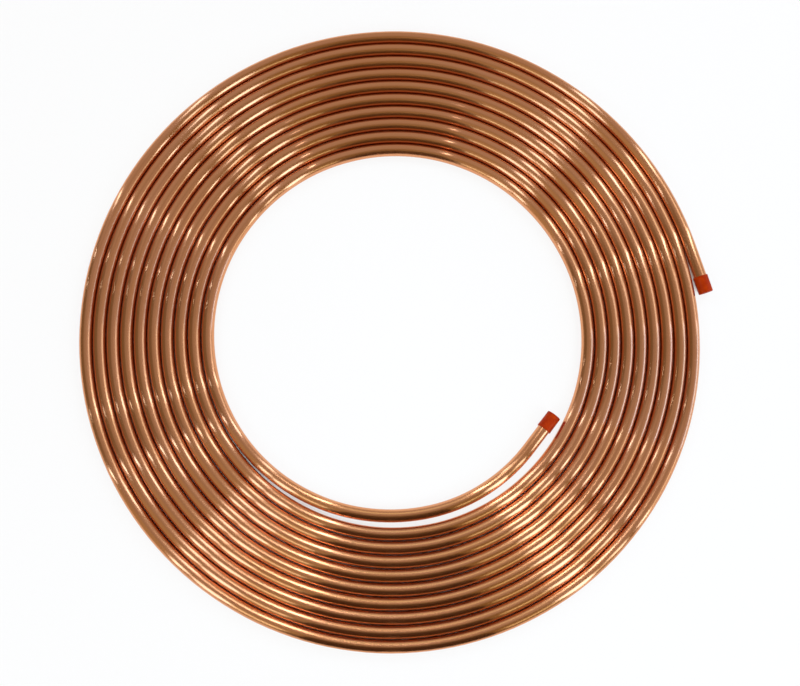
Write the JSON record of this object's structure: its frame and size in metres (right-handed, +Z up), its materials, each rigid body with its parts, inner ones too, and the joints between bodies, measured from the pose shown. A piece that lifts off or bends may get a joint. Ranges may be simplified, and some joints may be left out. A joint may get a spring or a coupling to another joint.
{
  "type": "copper tube coil",
  "caption": "Flat single-layer spiral coil of soft copper tube, with a push-on plastic cap closing each end.",
  "frame": {"origin": "on the floor, below the middle of the bounding box of the coil as it lies flat", "axes": "+Z up, square to the flat coil; +X towards the side where the capped outer end is; +Y a quarter turn anticlockwise from +X, seen from above"},
  "size_m": [0.6296, 0.6212, 0.015],
  "materials": {
    "copper": "drawn soft copper, satin bright",
    "cap": "moulded soft plastic, satin"
  },
  "bodies": {
    "root": {"coiled_tube": "copper", "outer_end_cap": "cap", "inner_end_cap": "cap"}
  },
  "joints": []
}
